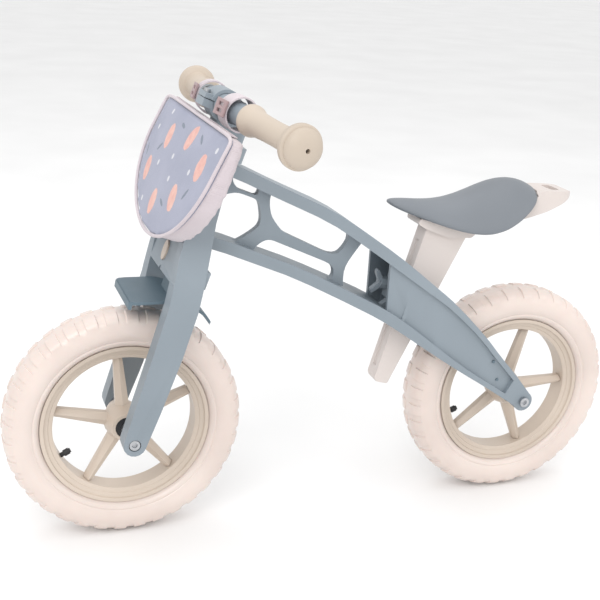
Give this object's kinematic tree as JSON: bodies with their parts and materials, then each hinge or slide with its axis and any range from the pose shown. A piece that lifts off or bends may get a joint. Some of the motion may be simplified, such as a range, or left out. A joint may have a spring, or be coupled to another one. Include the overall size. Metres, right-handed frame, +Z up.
{
  "type": "balance bike",
  "caption": "Child's balance bike with a moulded arched frame, steerable fork, spoked wheels, a sliding seat post held by a clamp knob, and a soft handlebar bag.",
  "frame": {"origin": "on the ground, midway between the two wheel contacts, on the bike's centre plane", "axes": "+X forward, +Y to the rider's left, +Z up"},
  "size_m": [0.8439, 0.4668, 0.5668],
  "materials": {
    "blue_plastic": "satin moulded plastic",
    "dark_blue_plastic": "satin moulded plastic",
    "saddle_blue": "soft satin",
    "cream_tyre": "smooth foam rubber",
    "beige_plastic": "satin",
    "pale_plastic": "satin",
    "bag_cloth": "printed woven cloth",
    "lilac_cloth": "woven cloth",
    "black_plastic": "plain",
    "zinc_steel": "zinc plated"
  },
  "bodies": {
    "frame": {"frame_moulding": "blue_plastic", "frame_arm_left": "blue_plastic", "frame_arm_right": "blue_plastic", "arm_pin_left_1": "dark_blue_plastic", "arm_pin_left_2": "dark_blue_plastic", "arm_pin_right_1": "dark_blue_plastic", "arm_pin_right_2": "dark_blue_plastic", "clamp_nut": "zinc_steel", "rear_axle_bolt": "zinc_steel", "rear_axle_nut": "zinc_steel", "rear_axle_spacer_left": "zinc_steel", "rear_axle_spacer_right": "zinc_steel"},
    "steering": {"fork_moulding": "blue_plastic", "crown_cap": "beige_plastic", "steerer_tube": "zinc_steel", "head_bush_lower": "black_plastic", "head_bush_upper": "black_plastic", "mudguard": "dark_blue_plastic", "handlebar": "blue_plastic", "bar_clamp_cap": "blue_plastic", "clamp_cap_screw_front": "zinc_steel", "clamp_cap_screw_rear": "zinc_steel", "grip_left": "beige_plastic", "grip_right": "beige_plastic", "front_axle_bolt": "zinc_steel", "front_axle_nut": "zinc_steel", "front_axle_spacer_left": "zinc_steel", "front_axle_spacer_right": "zinc_steel", "bag_front_panel": "bag_cloth", "bag_gusset": "lilac_cloth", "bag_back_panel": "lilac_cloth", "bag_piping": "lilac_cloth", "bag_zip": "lilac_cloth", "bag_strap_left": "lilac_cloth", "bag_strap_right": "lilac_cloth"},
    "front_wheel": {"front_tyre": "cream_tyre", "front_rim": "beige_plastic", "front_spokes": "beige_plastic", "front_bearing_left": "black_plastic", "front_bearing_right": "black_plastic", "front_valve_stem": "black_plastic"},
    "rear_wheel": {"rear_tyre": "cream_tyre", "rear_rim": "beige_plastic", "rear_spokes": "beige_plastic", "rear_bearing_left": "black_plastic", "rear_bearing_right": "black_plastic", "rear_valve_stem": "black_plastic"},
    "seat": {"seat_post": "pale_plastic", "saddle_pad": "saddle_blue", "saddle_carrier": "pale_plastic"},
    "clamp_carriage": {"clamp_pad": "black_plastic"},
    "knob_and_screw": {"clamp_knob": "blue_plastic", "clamp_screw": "zinc_steel"}
  },
  "joints": [
    {"name": "steering", "type": "hinge", "parent": "frame", "child": "steering", "pos_m": [0.272, 0, 0.15], "axis": [-0.3338, 0, 0.9426], "range_deg": [-32, 32]},
    {"name": "front_wheel_spin", "type": "hinge", "parent": "steering", "child": "front_wheel", "pos_m": [0.272, 0, 0.15], "axis": [0, 1, 0], "continuous": true},
    {"name": "rear_wheel_spin", "type": "hinge", "parent": "frame", "child": "rear_wheel", "pos_m": [-0.272, 0, 0.15], "axis": [0, 1, 0], "continuous": true},
    {"name": "seat_height", "type": "slide", "parent": "frame", "child": "seat", "axis": [-0.2622, 0, 0.965], "range_m": [-0.04, 0.04]},
    {"name": "clamp_travel", "type": "slide", "parent": "frame", "child": "clamp_carriage", "axis": [0.965, 0, 0.2622], "range_m": [0, 0.004]},
    {"name": "knob_turn", "type": "hinge", "parent": "clamp_carriage", "child": "knob_and_screw", "pos_m": [-0.06942, 0, 0.3151], "axis": [0.965, 0, 0.2622], "range_deg": [0, 720]}
  ],
  "couplings": [
    {"joint": "knob_turn", "follows": "clamp_travel", "rad_per_m": 3141.6}
  ]
}
